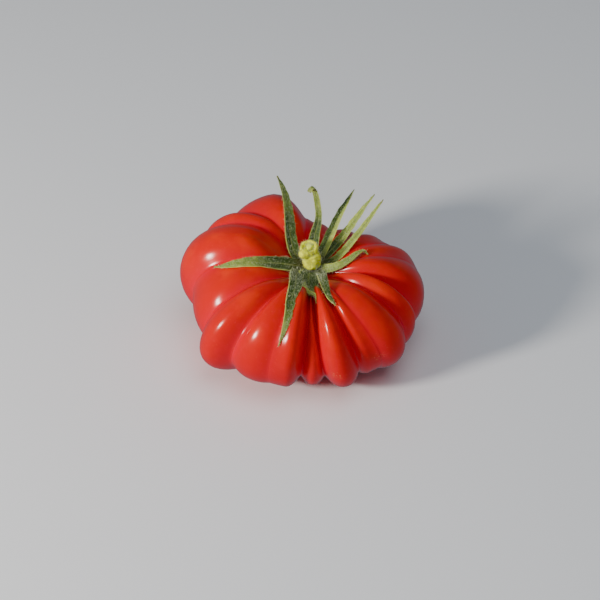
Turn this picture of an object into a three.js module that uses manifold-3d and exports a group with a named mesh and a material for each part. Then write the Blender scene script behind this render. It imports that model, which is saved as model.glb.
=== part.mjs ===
// A ribbed beefsteak tomato, as picked: the fruit, its green calyx and the broken stub of its stalk.
// Millimetres, +Z up. It stands on z = 0, seen in its usual view from -Y, and the stalk's axis is the
// Z axis until the finished group is centred over its own box.
import * as THREE from "three";
import { mergeVertices } from "three/addons/utils/BufferGeometryUtils.js";
import Module from "manifold-3d";

const wasm = await Module();
wasm.setup();

// Driving dimensions
const SEAT = 35; // height of the dimple's floor, where the calyx sits
const SCAR = 4; // height of the blossom scar in the underside's dimple
const CREST = 0.52; // radius of a lobe's highest point, as a share of its reach
const HEEL = 0.42; // radius of a lobe's lowest point, as a share of its reach
const ARCH = 0.25; // how round a lobe is across: 0 is a half circle, more is flatter
const SOFT = 0.15; // how far a crease is rounded out, as a share of half a lobe
const PRESSED = 0.5; // how far the lowest lobes are pressed flat by the fruit's weight
const COLUMNS = 8; // columns of points across a lobe
const ROWS = [0, 0.3, 0.5, 0.7, 0.85, 1, 1.12, 1.24, 1.36, 1.48, 1.6, 1.72, 1.84, 1.96, 2.08, 2.2, 2.32,
  2.44, 2.56, 2.68, 2.8, 2.9, 3, 3.12, 3.3, 3.5, 3.75, 4]; // places of the rows along a meridian
const EVEN_OUT = 0.4; // near both poles, up to here on a meridian, the columns spread out evenly
const GAP = 0.3; // clearance between the pieces

// Lobes in order, counter-clockwise from the right: how far each one reaches out from the stalk's axis,
// how high its crest is, how high its widest point is, and how far its heel stays off the table.
const LOBES = [
  { name: "right", reach: 44, rise: 43, belt: 25, heel: 0 },
  { name: "right rear", reach: 42.5, rise: 41.5, belt: 25, heel: 1.2 },
  { name: "rear right", reach: 37, rise: 41, belt: 25, heel: 1.5 },
  { name: "rear notch right", reach: 33, rise: 40, belt: 24, heel: 1.5 },
  { name: "rear notch left", reach: 31, rise: 42, belt: 24, heel: 1.5 },
  { name: "rear left", reach: 48, rise: 49, belt: 28, heel: 0 },
  { name: "left rear", reach: 50, rise: 47.5, belt: 27, heel: 1 },
  { name: "left", reach: 52, rise: 49, belt: 27, heel: 0.5 },
  { name: "left low", reach: 46, rise: 43, belt: 23, heel: 1 },
  { name: "left front", reach: 51, rise: 43, belt: 20, heel: 0 },
  { name: "front left wide", reach: 46, rise: 43, belt: 21, heel: 0.8 },
  { name: "front left narrow", reach: 44, rise: 43, belt: 21, heel: 0.6 },
  { name: "front small", reach: 40, rise: 39, belt: 18, heel: 1 },
  { name: "front", reach: 44, rise: 42, belt: 20, heel: 0 },
  { name: "front right narrow", reach: 42, rise: 42, belt: 22, heel: 0.8 },
  { name: "front right", reach: 45.5, rise: 42, belt: 22, heel: 0.6 },
  { name: "right front", reach: 43.5, rise: 42, belt: 24, heel: 0.6 },
];

// Creases, each on the clockwise side of the lobe of the same number: its azimuth in degrees at the stalk,
// at the widest point and under the fruit, and its depth.
const CREASES = [
  { top: -28, middle: -19, bottom: -14, depth: 4.5 },
  { top: -14, middle: 10, bottom: 20, depth: 0.6 },
  { top: 10, middle: 28, bottom: 36, depth: 0.6 },
  { top: 40, middle: 49, bottom: 55, depth: 1.2 },
  { top: 68, middle: 71, bottom: 75, depth: 2.5 },
  { top: 102, middle: 91, bottom: 88, depth: 5 },
  { top: 120, middle: 141, bottom: 141, depth: 3 },
  { top: 138, middle: 154, bottom: 157, depth: 3 },
  { top: 198, middle: 182, bottom: 176, depth: 3.5 },
  { top: 227, middle: 206, bottom: 192, depth: 3.5 },
  { top: 250, middle: 228, bottom: 214, depth: 4 },
  { top: 258, middle: 249, bottom: 236, depth: 0.9 },
  { top: 266, middle: 265.5, bottom: 246, depth: 5 },
  { top: 268, middle: 276, bottom: 294, depth: 5 },
  { top: 275, middle: 296, bottom: 324, depth: 3.6 },
  { top: 279, middle: 307, bottom: 336, depth: 1 },
  { top: 309, middle: 328, bottom: 344, depth: 3 },
];

// The receptacle is a shallow disc in the dimple, and the sepals grow out of its rim.
const DISC = { radius: 4.6, thickness: 1.2, lift: 0 };
const BLADE_STEPS = 18; // stations along a sepal
const BLADE_EDGE = 0.6; // thickness at a sepal's margins
const BLADE_RIB = 1; // thickness along its midrib
const BLADE_TIP = 0.14; // width of a sepal's tip, as a share of its greatest width, where it has no "tip"

// Sepals, clockwise from the left. A path's points are measured from the seat of the calyx. "width" is the
// blade's greatest width and "taper" how soon it narrows. "fold" is how steeply its halves rise from the
// midrib, like a gutter. The gutter opens along "face" at the root, and has turned by "twist" degrees at
// the tip.
const SEPALS = [
  { name: "left", width: 7, taper: 0.85, fold: 0.2, face: [0, -0.5, 0.9], twist: 0,
    path: [[-2.4, 0.1, 1], [-5.6, -1, 2.4], [-11.8, -3.4, 5.4], [-17.4, -5, 7.1], [-23.1, -6.1, 8.4],
      [-28.8, -6.8, 8], [-34, -6.3, 6.4], [-36.8, -5.3, 5.2]] },
  { name: "rear left", width: 5.4, taper: 0.65, fold: 0.35, face: [0.4, -0.7, 0.7], twist: 25,
    path: [[-2, 1.8, 1], [-6, 4.6, 3.4], [-7.8, 9, 7.2], [-8.5, 14.6, 12], [-9.2, 19.6, 15.6],
      [-10.2, 22.8, 18.6], [-11.6, 26, 21], [-13.1, 29.6, 22.5]] },
  { name: "rear curled", width: 6.2, taper: 1.5, tip: 0.34, fold: 0.4, face: [0.3, -0.8, 0.6], twist: -50,
    path: [[0.2, 2.6, 1], [0.5, 8, 3.6], [1.5, 12.6, 6.8], [2.8, 15.8, 10.4], [3.1, 17.2, 13.8],
      [2.7, 18, 17.9], [2, 18.5, 22.2], [0.9, 18.3, 25.3], [-0.2, 17, 26.3], [-1.1, 15.9, 25]] },
  { name: "rear", width: 4.7, taper: 0.8, fold: 0.6, face: [-0.2, -0.7, 0.7], twist: -10,
    path: [[1.4, 2.3, 1], [4.4, 6.2, 3.4], [7.6, 11.8, 7.4], [10.7, 18.2, 11], [14.1, 24.4, 13.8],
      [17, 29.5, 16]] },
  { name: "rear right", width: 5.2, taper: 0.65, fold: 0.3, face: [-0.5, -0.6, 0.6], twist: -30,
    path: [[2, 1.8, 1], [6.8, 6.4, 2.8], [11.6, 11, 5.6], [15.6, 15.1, 8.8], [18.4, 17.8, 11.8],
      [21, 20.5, 14.4], [24.7, 24.6, 17.4]] },
  { name: "right rear", width: 3.4, taper: 0.65, fold: 0.4, face: [-0.3, -0.5, 0.8], twist: -15,
    path: [[2.6, 0.8, 1], [8.1, 1.8, 2.2], [12, 4.5, 4.2], [16.8, 8.9, 7.8], [21.3, 13, 12],
      [24.6, 16, 15.6], [27.9, 19.4, 18.7]] },
  { name: "right", width: 4.8, taper: 0.8, fold: 0.6, face: [-0.3, -0.3, 0.9], twist: 0,
    path: [[2.6, -1.2, 1], [7, -3.6, 2.6], [11, -4, 4.4], [14.8, -1.8, 5.7], [17.9, 0.9, 6.8],
      [20.2, 2.1, 7.1], [21.8, 0.8, 6.4]] },
  { name: "front right", width: 4.6, taper: 0.7, fold: 0.3, face: [0.2, -0.2, 1], twist: 0,
    path: [[1.8, -2.2, 1], [3.6, -6.4, 2.6], [4.2, -12, 5.4], [4.8, -17.6, 7.2], [6.7, -24.2, 6.1],
      [9.2, -27.8, 5.2]] },
  { name: "front", width: 7.5, taper: 0.35, fold: 0.3, face: [0, -0.1, 1], twist: 0,
    path: [[0, -2.6, 1], [-0.8, -7, 2.8], [-1, -12, 4.1], [-0.7, -16.2, 4], [0.5, -20, 3.2]] },
  { name: "front left", width: 6.8, taper: 0.85, fold: 0.2, face: [-0.2, -0.3, 1], twist: 0,
    path: [[-1.8, -1.8, 1], [-5.1, -6.6, 3.4], [-5.7, -13.4, 6.5], [-6.1, -20, 7.9], [-7.5, -27.4, 7.3],
      [-8.4, -32.8, 5.2], [-9.9, -37, 1.5], [-12.1, -40.6, -3.6]] },
];

// The stalk's stub: a barrel, and a collar round the break that sits a little to the left of it.
const BARREL = { radius: 3.5, height: 7, shift: [0.3, 0] };
const COLLAR = { radius: 3.6, height: 4.4, shift: [-0.9, 0.6], lean: [-0.1, -0.28] };
const BREAK = { radius: 2.2, depth: 0.9 };
const CORE = { radius: 1.3, height: 1.1 };
const RAISED = 2.2; // how far the collar's rim stands above the barrel's shoulder

const RED = new THREE.MeshStandardMaterial({ color: 0xd8301c, roughness: 0.28, metalness: 0 });
const GREEN = new THREE.MeshStandardMaterial({ color: 0x55702c, roughness: 0.75, metalness: 0 });
const LIME = new THREE.MeshStandardMaterial({ color: 0xb4b845, roughness: 0.7, metalness: 0 });

const radians = THREE.MathUtils.degToRad;
const mix = THREE.MathUtils.lerp;

// Rise of an arch over 0 to 1, steep at both ends and rounded out where it meets the next one
function arch(place) {
  const circle = (x) => Math.sqrt(ARCH * ARCH + 1 - x * x);
  const inside = (share) => 1 - Math.hypot(share, SOFT);
  const deepest = circle(inside(0));
  const here = circle(inside(1 - Math.abs(2 * place - 1)));
  return (here - deepest) / (circle(inside(1)) - deepest);
}

// Azimuth of a crease at a place on the meridian: a parabola through its three stated azimuths
function creaseAzimuth(crease, along) {
  const u = along / 2 - 1;
  const bow = (crease.top + crease.bottom) / 2 - crease.middle;
  return crease.middle + (u * (crease.bottom - crease.top)) / 2 + u * u * bow;
}

// Radius and height on a meridian. "along" runs from 0 at the stalk over the crest at 1, the widest point
// at 2 and the heel at 3 to the blossom scar at 4. "grown" swells the skin outwards by that much.
function meridian(along, shape, grown) {
  const crest = shape.reach * CREST;
  const heel = shape.reach * HEEL;
  const reach = shape.reach + grown;
  const rise = shape.rise + grown;
  const low = shape.heel - grown;
  if (along <= 1) {
    const swell = (1 - Math.cos(Math.PI * along)) / 2;
    return [crest * along, mix(SEAT + grown, rise, swell)];
  }
  if (along <= 2) {
    const turn = ((along - 1) * Math.PI) / 2;
    return [mix(crest, reach, Math.sin(turn)), mix(shape.belt, rise, Math.cos(turn))];
  }
  if (along <= 3) {
    const turn = ((along - 2) * Math.PI) / 2;
    return [mix(heel, reach, Math.cos(turn)), mix(shape.belt, low, Math.sin(turn))];
  }
  const swell = (1 - Math.cos(Math.PI * (4 - along))) / 2;
  return [heel * (4 - along), mix(SCAR - grown, low, swell)];
}

// What a lobe measures at a place across it, from the crease at 0 over its ridge at 0.5 to the crease at 1
function across(index, place) {
  const own = LOBES[index];
  const count = LOBES.length;
  const beside = place < 0.5 ? LOBES[(index + count - 1) % count] : LOBES[(index + 1) % count];
  const depth = place < 0.5 ? CREASES[index].depth : CREASES[(index + 1) % count].depth;
  const up = arch(place);
  const blend = (key, sink) => mix((own[key] + beside[key]) / 2 + sink * depth, own[key], up);
  return {
    reach: blend("reach", -1),
    rise: blend("rise", -0.75),
    belt: blend("belt", 0),
    heel: blend("heel", 0.5),
  };
}

function fruitPoint(index, place, along, grown) {
  const count = LOBES.length;
  const start = creaseAzimuth(CREASES[index], along);
  const end = creaseAzimuth(CREASES[(index + 1) % count], along) + (index + 1 === count ? 360 : 0);
  const even = CREASES[0].top + ((index + place) * 360) / count;
  const toPole = Math.min(along, 4 - along) / EVEN_OUT;
  const azimuth = radians(mix(even, mix(start, end, place), THREE.MathUtils.smoothstep(toPole, 0, 1)));
  const [radius, height] = meridian(along, across(index, place), grown);
  return [radius * Math.cos(azimuth), radius * Math.sin(azimuth), Math.max(height - PRESSED, 0)];
}

// Closed skin over rings of points, each ring joined to the next, with a pole or a flat cap at both ends
function skin(rings, first, last) {
  const count = rings[0].length;
  const positions = [first, ...rings.flat(), last].flat();
  const index = [];
  const at = (ring, column) => 1 + ring * count + (column % count);
  const end = 1 + rings.length * count;
  for (let column = 0; column < count; column += 1) {
    index.push(0, at(0, column), at(0, column + 1));
    for (let ring = 0; ring + 1 < rings.length; ring += 1) {
      const [a, b] = [at(ring, column), at(ring, column + 1)];
      const [c, d] = [at(ring + 1, column), at(ring + 1, column + 1)];
      index.push(a, c, d, a, d, b);
    }
    index.push(end, at(rings.length - 1, column + 1), at(rings.length - 1, column));
  }
  const geometry = new THREE.BufferGeometry();
  geometry.setAttribute("position", new THREE.Float32BufferAttribute(positions, 3));
  geometry.setIndex(index);
  return geometry;
}

function fruitGeometry(grown = 0) {
  const rings = ROWS.slice(1, -1).map((along) => {
    const ring = [];
    for (let index = 0; index < LOBES.length; index += 1) {
      for (let column = 0; column < COLUMNS; column += 1) {
        ring.push(fruitPoint(index, column / COLUMNS, along, grown));
      }
    }
    return ring;
  });
  return skin(rings, [0, 0, SEAT - PRESSED + grown], [0, 0, SCAR - PRESSED - grown]);
}

function solid(geometry) {
  const bare = geometry.clone();
  bare.deleteAttribute("normal");
  bare.deleteAttribute("uv");
  const merged = mergeVertices(bare, 1e-5);
  const mesh = new wasm.Mesh({
    numProp: 3,
    vertProperties: new Float32Array(merged.attributes.position.array),
    triVerts: new Uint32Array(merged.index.array),
  });
  return new wasm.Manifold(mesh);
}

function fromSolid(manifold) {
  const mesh = manifold.getMesh();
  const geometry = new THREE.BufferGeometry();
  geometry.setAttribute("position", new THREE.BufferAttribute(mesh.vertProperties, 3));
  geometry.setIndex(new THREE.BufferAttribute(mesh.triVerts, 1));
  return geometry;
}

// Share of the greatest width at a place along a sepal: broad at the root, then a long taper
function bladeTaper(place, sepal) {
  return Math.max(Math.pow(1 - place, sepal.taper) * (0.8 + 0.9 * place), sepal.tip ?? BLADE_TIP);
}

function sepalGeometry(sepal) {
  const points = sepal.path.map(([x, y, z]) => new THREE.Vector3(x, y, z + SEAT));
  const curve = new THREE.CatmullRomCurve3(points, false, "centripetal");
  const carried = new THREE.Vector3(...sepal.face);
  const rings = [];
  const section = [-1, -0.5, 0, 0.5, 1];
  for (let step = 0; step <= BLADE_STEPS; step += 1) {
    const place = step / BLADE_STEPS;
    const centre = curve.getPointAt(place);
    const forward = curve.getTangentAt(place);
    carried.addScaledVector(forward, -carried.dot(forward)).normalize();
    const face = carried.clone().applyAxisAngle(forward, radians(sepal.twist * place));
    const side = new THREE.Vector3().crossVectors(forward, face);
    const half = (sepal.width * bladeTaper(place, sepal)) / 2;
    const upper = [];
    const lower = [];
    for (const part of section) {
      const rise = sepal.fold * half * Math.abs(part);
      const thick = mix(BLADE_RIB, BLADE_EDGE, Math.abs(part));
      const middle = centre.clone().addScaledVector(side, half * part).addScaledVector(face, rise);
      upper.push(middle.clone().addScaledVector(face, thick / 2).toArray());
      lower.push(middle.clone().addScaledVector(face, -thick / 2).toArray());
    }
    rings.push([...lower, ...upper.reverse()]);
  }
  return skin(rings, points[0].toArray(), curve.getPointAt(1).toArray());
}

// Solid turned round the Z axis from a profile of [radius, height] that starts and ends on the axis
function turned(profile, sides = 20) {
  const lathe = new THREE.LatheGeometry(profile.map(([x, y]) => new THREE.Vector2(x, y)), sides);
  return lathe.rotateX(Math.PI / 2);
}

function calyxGeometry() {
  const { radius, thickness, lift } = DISC;
  const disc = turned([[0, 0], [radius * 0.85, 0], [radius, thickness / 2], [radius * 0.85, thickness],
    [0, thickness]]);
  let body = solid(disc.translate(0, 0, SEAT + lift));
  for (const sepal of SEPALS) {
    body = body.add(solid(sepalGeometry(sepal)));
  }
  const clear = BARREL.radius + GAP;
  const room = turned([[0, 0], [clear, 0], [clear, BARREL.height], [0, BARREL.height]]);
  room.translate(BARREL.shift[0], BARREL.shift[1], SEAT + lift + thickness);
  return fromSolid(body.subtract(solid(room)).subtract(solid(fruitGeometry(GAP))));
}

function stemGeometry() {
  const base = SEAT + DISC.lift + DISC.thickness + GAP;
  const { radius: wide, height: tall } = BARREL;
  const barrel = turned([[0, 0], [wide * 0.8, 0], [wide, tall * 0.2], [wide, tall * 0.6],
    [wide * 0.85, tall], [0, tall]]);
  let body = solid(barrel.translate(BARREL.shift[0], BARREL.shift[1], base));
  const { radius, height } = COLLAR;
  const collar = turned([[0, -height], [radius * 0.7, -height], [radius, -height * 0.5],
    [radius * 0.97, -height * 0.12], [radius * 0.8, 0], [BREAK.radius, -0.1],
    [BREAK.radius * 0.8, -BREAK.depth], [CORE.radius, -BREAK.depth],
    [CORE.radius * 0.8, CORE.height - BREAK.depth - 0.3], [0, CORE.height - BREAK.depth]]);
  collar.rotateX(-COLLAR.lean[1]).rotateY(COLLAR.lean[0]);
  collar.translate(COLLAR.shift[0], COLLAR.shift[1], base + tall + RAISED);
  body = body.add(solid(collar));
  return fromSolid(body);
}

function piece(name, geometry, material) {
  geometry.computeVertexNormals();
  const mesh = new THREE.Mesh(geometry, material);
  mesh.name = name;
  return mesh;
}

const tomato = new THREE.Group();
tomato.add(piece("fruit", fruitGeometry(), RED));
tomato.add(piece("calyx", calyxGeometry(), GREEN));
tomato.add(piece("stem", stemGeometry(), LIME));

const box = new THREE.Box3().setFromObject(tomato);
const centre = box.getCenter(new THREE.Vector3());
tomato.position.set(-centre.x, -centre.y, 0);

export default tomato;
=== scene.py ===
"""A ribbed beefsteak tomato with its calyx and the stub of its stalk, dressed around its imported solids.

Every length in the property groups and tables is in millimetres, measured from the stalk's axis, as the
solids were drawn. Finished meshes and the lamps are in metres, in the frame's own place.
"""
import math

import bmesh
import bpy
import numpy as np
from mathutils import Matrix, Vector


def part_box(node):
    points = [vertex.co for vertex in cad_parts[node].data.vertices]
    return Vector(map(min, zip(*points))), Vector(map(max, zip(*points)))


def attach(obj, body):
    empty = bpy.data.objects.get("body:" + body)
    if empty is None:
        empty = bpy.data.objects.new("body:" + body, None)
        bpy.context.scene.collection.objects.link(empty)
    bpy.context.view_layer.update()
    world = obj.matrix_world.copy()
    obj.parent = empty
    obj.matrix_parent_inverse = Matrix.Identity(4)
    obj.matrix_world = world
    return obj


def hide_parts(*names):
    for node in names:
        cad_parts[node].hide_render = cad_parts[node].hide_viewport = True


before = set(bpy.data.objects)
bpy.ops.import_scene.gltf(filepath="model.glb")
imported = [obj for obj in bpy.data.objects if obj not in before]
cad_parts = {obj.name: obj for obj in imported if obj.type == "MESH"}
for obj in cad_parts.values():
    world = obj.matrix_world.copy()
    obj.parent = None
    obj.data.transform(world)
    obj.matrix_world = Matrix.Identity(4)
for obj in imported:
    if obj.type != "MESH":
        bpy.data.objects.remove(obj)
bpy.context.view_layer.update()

bl_info = {
    "name": "Ribbed Tomato",
    "version": (1, 0, 0),
    "blender": (4, 5, 0),
    "location": "3D View > Sidebar > Tomato",
    "description": "Makes a ribbed beefsteak tomato with its calyx and a stub of its stalk",
    "category": "Add Mesh",
}

MM = 0.001

# Lobes, counter-clockwise from the right: reach from the stalk's axis, height of the crest, height of the
# widest point, and how far the heel stays off the table
LOBES = [
    (44, 43, 25, 0), (42.5, 41.5, 25, 1.2), (37, 41, 25, 1.5), (33, 40, 24, 1.5), (31, 42, 24, 1.5),
    (48, 49, 28, 0), (50, 47.5, 27, 1), (52, 49, 27, 0.5), (46, 43, 23, 1), (51, 43, 20, 0),
    (46, 43, 21, 0.8), (44, 43, 21, 0.6), (40, 39, 18, 1), (44, 42, 20, 0), (42, 42, 22, 0.8),
    (45.5, 42, 22, 0.6), (43.5, 42, 24, 0.6),
]

# Creases, each on the clockwise side of the lobe of the same number: azimuth in degrees at the stalk, at
# the widest point and under the fruit, and depth
CREASES = [
    (-28, -19, -14, 4.5), (-14, 10, 20, 0.6), (10, 28, 36, 0.6), (40, 49, 55, 1.2), (68, 71, 75, 2.5),
    (102, 91, 88, 5), (120, 141, 141, 3), (138, 154, 157, 3), (198, 182, 176, 3.5), (227, 206, 192, 3.5),
    (250, 228, 214, 4), (258, 249, 236, 0.9), (266, 265.5, 246, 5), (268, 276, 294, 5), (275, 296, 324, 3.6),
    (279, 307, 336, 1), (309, 328, 344, 3),
]

# Sepals, clockwise from the left: greatest width, how soon it tapers, its tip's share of that width, how
# steeply its halves fold up, how much its margins wave, which half is painted paler as the lit one while the
# other is painted darker as the shaded one (-1 to 1, 0 for neither), the way the fold opens at the root, its
# twist in degrees by the tip, how far its upper face is painted paler, as painted light, and from which
# share of its length, and the midrib's path from the seat
SEPALS = {
    "left": (7, 0.85, 0.1, 0.2, 1.3, -0.5, (0, -0.5, 0.9), 0, 0.65, 0.5, (
        (-2.4, 0.1, 1), (-5.6, -1, 2.4), (-11.8, -3.4, 5.4), (-17.4, -5, 7.1), (-23.1, -6.1, 8.4),
        (-28.8, -6.8, 8), (-34, -6.3, 6.4), (-36.8, -5.3, 5.2))),
    "rear_left": (5.4, 0.65, 0.12, 0.35, 1, -0.7, (0.4, -0.7, 0.7), 25, 0.6, 0.6, (
        (-2, 1.8, 1), (-6, 4.6, 3.4), (-7.8, 9, 7.2), (-8.5, 14.6, 12), (-9.2, 19.6, 15.6),
        (-10.2, 22.8, 18.6), (-11.6, 26, 21), (-13.1, 29.6, 22.5))),
    "rear_curled": (6.2, 1.5, 0.42, 0.4, 0.5, 0, (0.3, -0.8, 0.6), -50, 0.5, 0.55, (
        (0.2, 2.6, 1), (0.5, 8, 3.6), (1.5, 12.6, 6.8), (2.8, 15.8, 10.4), (3.1, 17.2, 13.8),
        (2.7, 18, 17.9), (2, 18.5, 22.2), (0.9, 18.3, 25.3), (-0.2, 17, 26.3), (-1.1, 15.9, 25))),
    "rear": (4.7, 0.8, 0.08, 0.6, 1, 1, (-0.2, -0.7, 0.7), -10, 0.9, 0.15, (
        (1.4, 2.3, 1), (4.4, 6.2, 3.4), (7.6, 11.8, 7.4), (10.7, 18.2, 11), (14.1, 24.4, 13.8),
        (17, 29.5, 16))),
    "rear_right": (5.2, 0.65, 0.1, 0.3, 1.2, 0, (-0.5, -0.6, 0.6), -30, 0.8, 0.4, (
        (2, 1.8, 1), (6.8, 6.4, 2.8), (11.6, 11, 5.6), (15.6, 15.1, 8.8), (18.4, 17.8, 11.8),
        (21, 20.5, 14.4), (24.7, 24.6, 17.4))),
    "right_rear": (3.4, 0.65, 0.12, 0.4, 1, 0, (-0.3, -0.5, 0.8), -15, 0.85, 0.22, (
        (2.6, 0.8, 1), (8.1, 1.8, 2.2), (12, 4.5, 4.2), (16.8, 8.9, 7.8), (21.3, 13, 12),
        (24.6, 16, 15.6), (27.9, 19.4, 18.7))),
    "right": (4.8, 0.8, 0.12, 0.6, 0.8, 0, (-0.3, -0.3, 0.9), 0, 0.6, 0, (
        (2.6, -1.2, 1), (7, -3.6, 2.6), (11, -4, 4.4), (14.8, -1.8, 5.7), (17.9, 0.9, 6.8),
        (20.2, 2.1, 7.1), (21.8, 0.8, 6.4))),
    "front_right": (4.6, 0.7, 0.08, 0.3, 2.2, 1, (0.2, -0.2, 1), 0, 0.2, 0, (
        (1.8, -2.2, 1), (3.6, -6.4, 2.6), (4.2, -12, 5.4), (4.8, -17.6, 7.2), (6.7, -24.2, 6.1),
        (9.2, -27.8, 5.2))),
    "front": (7.5, 0.25, 0.08, 0.3, 3.5, 0.7, (0, -0.1, 1), 0, 0.9, 0.82, (
        (0, -2.6, 1), (-0.8, -7, 2.8), (-1, -12, 4.1), (-0.7, -16.2, 4), (0.5, -20, 3.2))),
    "front_left": (6.8, 0.85, 0.08, 0.2, 1, 0.7, (-0.2, -0.3, 1), 0, 0.5, 0.75, (
        (-1.8, -1.8, 1), (-5.1, -6.6, 3.4), (-5.7, -13.4, 6.5), (-6.1, -20, 7.9), (-7.5, -27.4, 7.3),
        (-8.4, -32.8, 5.2), (-9.9, -37, 1.5), (-12.1, -40.6, -3.6))),
    "front_lip": (2.2, 0.75, 0.16, 0.9, 0.6, 0, (-0.3, -0.4, 1), 0, 1, -0.2, (
        (-2.4, -12.8, 4.6), (-2.9, -15.9, 5.3), (-2.4, -19, 5.5), (-0.6, -21, 5.4), (1.3, -21.9, 5.2),
        (1.8, -23.6, 4.9), (1.9, -25.6, 4.2))),
}

# How far a crease lies below the lobes beside it, for each millimetre of its depth: in reach, in the height
# of its crest, of its widest point and of its heel
VALLEY_SINKS = (-1, -0.75, 0, 0.5)

# Small folds on the skin: lobe, place across it, width, start and end along the meridian, height
FOLDS = [
    (16, 0.62, 0.09, 0.9, 2.1, 0.5),
    (13, 0.02, 0.10, 0.9, 1.9, 0.6),
    (7, 0.45, 0.06, 0.4, 1.2, -0.35),
    (11, 0.50, 0.32, 0.9, 2.1, 1.1),
]

# Knobs on the stub: place beside the axis, height over the stub's base, radius
KNOBS = [(-2.4, -1.3, 6.9, 2.3), (1.1, -0.8, 4.2, 2.75), (0.2, -0.9, 1.8, 2.8), (-0.45, 0.95, 8.7, 1.45)]

# Corky scuffs on the skin, away from the table: place in the frame and radius
SCUFFS = [(29.6, -37.2, 20.5, 4.2), (12.8, -42.7, 17.7, 2.8)]

# Profiles of the turned bodies, from the bottom up: radius and height. The barrel's and the collar's radii
# are shares of their greatest one.
DISC = ((0, 0), (3.9, 0), (4.6, 0.6), (3.9, 1.2), (0, 1.2))
BARREL = ((0, 0), (0.86, 0), (1, 1.2), (1, 3.2), (0.93, 4.6), (0.86, 6.2), (0, 7))
COLLAR = ((0, -4.2), (0.7, -4.2), (1, -2.2), (1, -0.9), (0.86, -0.1), (0.66, -0.05), (0.54, -1.1),
          (0, -1.2))

BARREL_SHIFT = 0.3            # how far the barrel stands to the right of the axis
COLLAR_PLACE = (-0.9, 0.6, 9.15)  # the collar's place over the stub's base
COLLAR_LEAN = (-0.1, 0.28)    # its turns about Y and X, in radians
CORE_PLACE = (-0.45, 0.95, 9.2)   # the middle of the broken core, over the stub's base
CORE_REACH = 1.9              # how far round it the core's colour shows
STUB_LIFT = 1.5               # height of the stub's base over the seat
FUSE_STEP = 0.13              # size of the cells that the stub is fused in
MOST_LIFT = 4                 # the furthest that a sepal's point is lifted off the skin

GATHER = 0.6                  # how strongly a lobe's columns of points gather at its creases
FOLD_EASE = 0.25              # how much of the meridian a small fold takes to rise
POLE_EASE = 0.4               # how much of it the columns take to even out at a pole
DENT_SCALE = 55.0             # fineness of the slow dents
RIPPLE_SCALE = 0.42           # fineness of the waves in a sepal's margins
GROOVE_STEEPNESS = 4.5        # how narrow the groove along a sepal's midrib is
GROOVE_DEPTH = 0.18           # how deep it is
LUMP_SCALE = 620.0            # fineness of the lumps on the stub
HAIR_BEND = 0.28              # how far a hair bends, as a share of its length
HAIR_LEAN = 0.5               # a hair's greatest lean, in radians
SHORTEST_HAIR = 0.35          # as a share of the longest
FULL_TURN = 6.283             # in radians
PLAIN_GRID = (8, (8, 8, 8, 8))    # columns and rows of the skin that only serves to find the stalk's axis

# Lamps: diameter, direction from the fruit, and colour. Their powers are among the stage's settings.
LAMPS = {
    "key": (0.15, (-0.80, -0.46, 0.37), (1.0, 0.96, 0.90)),
    "fill": (0.7, (0.15, -0.3, 1.0), (0.93, 0.97, 1.0)),
}
LAMP_DISTANCE = 0.9
FLOOR_REACH = 4

# Mesh attributes that carry a piece's form to the tree that makes it
SKIN_NUMBERS = ("grid", "before", "after", "ridge", "valley", "heels", "shape", "sink")
SEPAL_NUMBERS = ("spine", "side", "face", "spot", "form", "tone", "ends")

SKIN_LABELS = ("Seat", "Scar", "Crest", "Heel", "Roundness", "Softness", "Pressed", "Unevenness")
SKIN_COLUMNS = 22     # columns of points across a lobe
SKIN_ROWS = (34, 44, 40, 26)  # rows of points on each quarter of a meridian
BLADE_STATIONS = 72   # stations along a sepal
BLADE_ACROSS = 12     # faces across each side of a sepal
PER_CM2 = 1e4         # square centimetres in a square metre
SEED = 7


# Settings that a user would change

def length(name, description, default):
    """A size in millimetres."""
    return bpy.props.FloatProperty(name=name, description=description + ", in millimetres", default=default,
                                   precision=3)


def share(name, description, default, low=0.0, high=1.0):
    """A plain number between two limits."""
    return bpy.props.FloatProperty(name=name, description=description, default=default, min=low, max=high,
                                   subtype="FACTOR", precision=3)


def tint(name, description, default):
    """A colour, in linear light."""
    return bpy.props.FloatVectorProperty(name=name, description=description, default=default, size=3,
                                         min=0.0, max=1.0, subtype="COLOR")


class TomatoSkinSettings(bpy.types.PropertyGroup):
    """Sizes and colours of the fruit."""
    seat: length("Seat Height", "Height of the dimple's floor, where the calyx sits", 35.0)
    scar: length("Scar Height", "Height of the blossom scar in the underside's dimple", 4.0)
    pressed: length("Pressed Flat", "How far the lowest lobes are pressed flat", 0.5)
    crest: share("Crest Radius", "Radius of a lobe's highest point, as a share of its reach", 0.52)
    heel: share("Heel Radius", "Radius of a lobe's lowest point, as a share of its reach", 0.42)
    roundness: share("Roundness", "How flat a lobe is across, where 0 is a half circle", 0.25)
    softness: share("Crease Softness", "How far a crease is rounded out, as a share of half a lobe", 0.15)
    unevenness: length("Unevenness", "Depth of the slow dents and swellings", 0.35)
    ripe: tint("Ripe Red", "Colour of the ripe skin", (0.62, 0.001, 0.004))
    # Partly the skin's random warmer tone and partly painted light: the upper crests are painted warmer
    # where light falls on them
    warm: tint("Warm Red", "Colour of the shoulders and crests", (0.90, 0.040, 0.001))
    # Painted crease light: a brighter crimson painted in the creases, standing in for their glow and
    # sky-tinted shade; also the colour of the fine random mottle
    deep: tint("Deep Red", "Colour of the skin in the creases", (0.90, 0.001, 0.040))
    fleck: tint("Fleck", "Colour of the fine pale flecks", (0.95, 0.42, 0.16))
    cork: tint("Cork", "Colour of the blossom scar", (0.34, 0.20, 0.085))


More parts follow.
